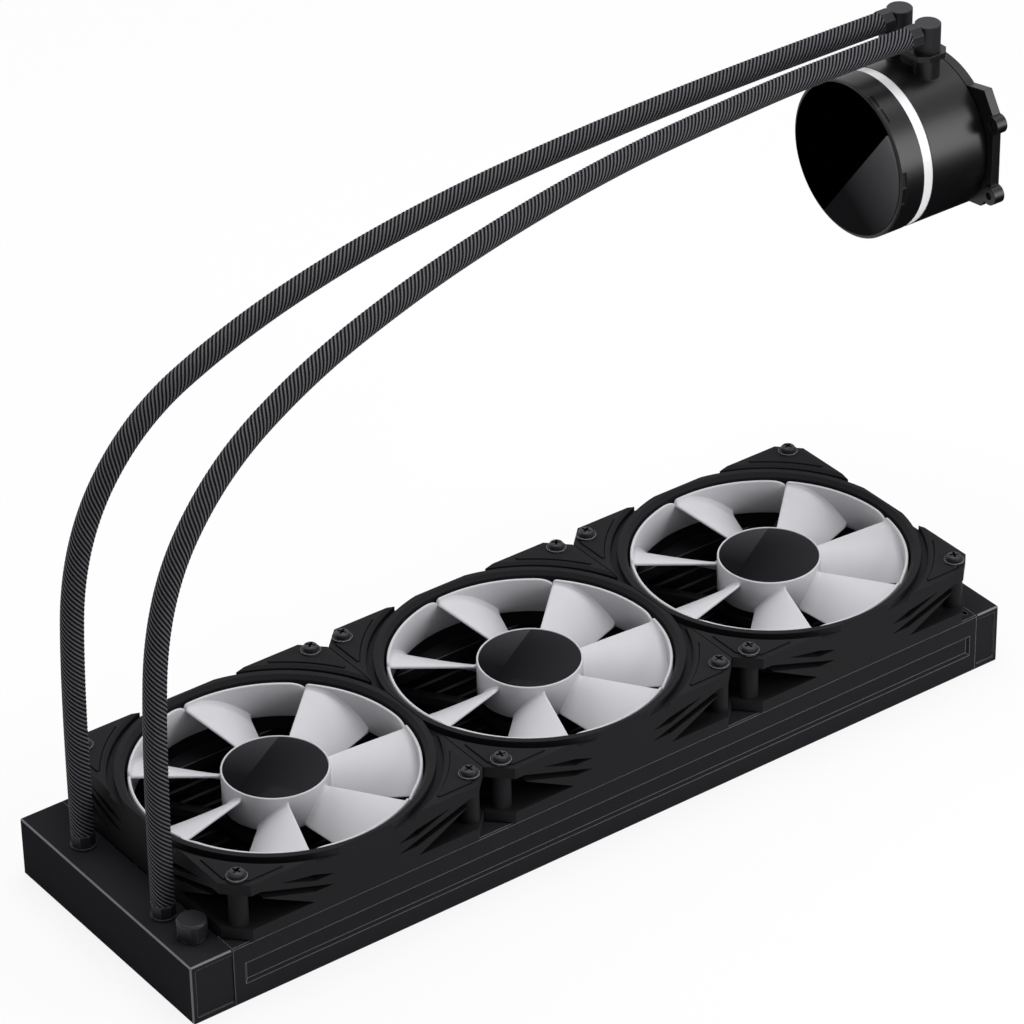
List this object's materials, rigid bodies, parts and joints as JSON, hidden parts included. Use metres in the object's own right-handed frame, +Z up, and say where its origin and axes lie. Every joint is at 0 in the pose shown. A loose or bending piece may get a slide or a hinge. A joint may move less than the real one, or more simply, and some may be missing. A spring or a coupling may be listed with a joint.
{
  "type": "all in one cpu liquid cooler",
  "caption": "Liquid cooler with a three-fan radiator, two sleeved hoses and a round pump head with a light ring.",
  "frame": {"origin": "centre of the middle fan's four-hole pattern, on the radiator's underside", "axes": "+X along the radiator from the port tank to the return tank, +Y to the far side, +Z up"},
  "size_m": [0.436, 0.1373, 0.2465],
  "materials": {
    "black_radiator": "powder coated aluminium, satin",
    "black_core": "black painted brazed aluminium",
    "hose_sleeve": "braided nylon sleeve",
    "black_fitting": "anodised satin",
    "frame_plastic": "fine grained moulding",
    "pad_rubber": "moulded rubber",
    "seal_rubber": "moulded rubber",
    "rotor_plastic": "milky translucent moulding",
    "gloss_black": "mirror gloss",
    "light_diffuser": "opal diffuser",
    "housing_plastic": "satin moulding",
    "copper": "machined copper",
    "coil": "enamelled copper wire on a core",
    "bronze": "sintered bronze",
    "steel": "ground",
    "black_steel": "black zinc",
    "magnet": "steel yoke with bonded ferrite",
    "board": "solder mask",
    "ceramic": "polished ceramic"
  },
  "bodies": {
    "cooler": {"port_tank": "black_radiator", "return_tank": "black_radiator", "side_rail_near": "black_radiator", "side_rail_far": "black_radiator", "coolant_tubes": "black_core", "cooling_fins": "black_core", "fill_plug": "black_fitting", "fill_plug_seal": "seal_rubber", "tank_stubs": "black_fitting", "tank_ferrules": "black_fitting", "hose_back": "hose_sleeve", "hose_front": "hose_sleeve", "pump_ferrules": "black_fitting", "elbow_back": "black_fitting", "elbow_front": "black_fitting", "elbow_seals": "seal_rubber", "face_disc": "gloss_black", "cap_ring": "housing_plastic", "light_ring": "light_diffuser", "pump_housing": "housing_plastic", "light_board": "board", "pump_stator": "coil", "impeller_shaft": "ceramic", "volute_plate": "housing_plastic", "cold_plate_gasket": "seal_rubber", "cold_plate": "copper", "base_flange": "housing_plastic", "pump_screws": "black_steel", "saddle_plate": "housing_plastic", "fan_screws": "black_steel", "fan_washers": "black_steel", "fan_1_frame": "frame_plastic", "fan_1_corner_pads": "pad_rubber", "fan_1_bearing": "bronze", "fan_1_stator": "coil", "fan_1_circuit_board": "board", "fan_2_frame": "frame_plastic", "fan_2_corner_pads": "pad_rubber", "fan_2_bearing": "bronze", "fan_2_stator": "coil", "fan_2_circuit_board": "board", "fan_3_frame": "frame_plastic", "fan_3_corner_pads": "pad_rubber", "fan_3_bearing": "bronze", "fan_3_stator": "coil", "fan_3_circuit_board": "board"},
    "fan_1_spinner": {"fan_1_rotor": "rotor_plastic", "fan_1_hub_disc": "gloss_black", "fan_1_shaft": "steel", "fan_1_magnet_ring": "magnet"},
    "fan_2_spinner": {"fan_2_rotor": "rotor_plastic", "fan_2_hub_disc": "gloss_black", "fan_2_shaft": "steel", "fan_2_magnet_ring": "magnet"},
    "fan_3_spinner": {"fan_3_rotor": "rotor_plastic", "fan_3_hub_disc": "gloss_black", "fan_3_shaft": "steel", "fan_3_magnet_ring": "magnet"},
    "pump_spinner": {"impeller": "magnet"}
  },
  "joints": [
    {"name": "fan_1_spin", "type": "hinge", "parent": "cooler", "child": "fan_1_spinner", "pos_m": [-0.12, 0, 0.0385], "axis": [0, 0, 1], "continuous": true},
    {"name": "fan_2_spin", "type": "hinge", "parent": "cooler", "child": "fan_2_spinner", "pos_m": [0, 0, 0.0385], "axis": [0, 0, 1], "continuous": true},
    {"name": "fan_3_spin", "type": "hinge", "parent": "cooler", "child": "fan_3_spinner", "pos_m": [0.12, 0, 0.0385], "axis": [0, 0, 1], "continuous": true},
    {"name": "pump_spin", "type": "hinge", "parent": "cooler", "child": "pump_spinner", "pos_m": [0.2222, 0.037, 0.191], "axis": [1, 0, 0], "continuous": true}
  ]
}
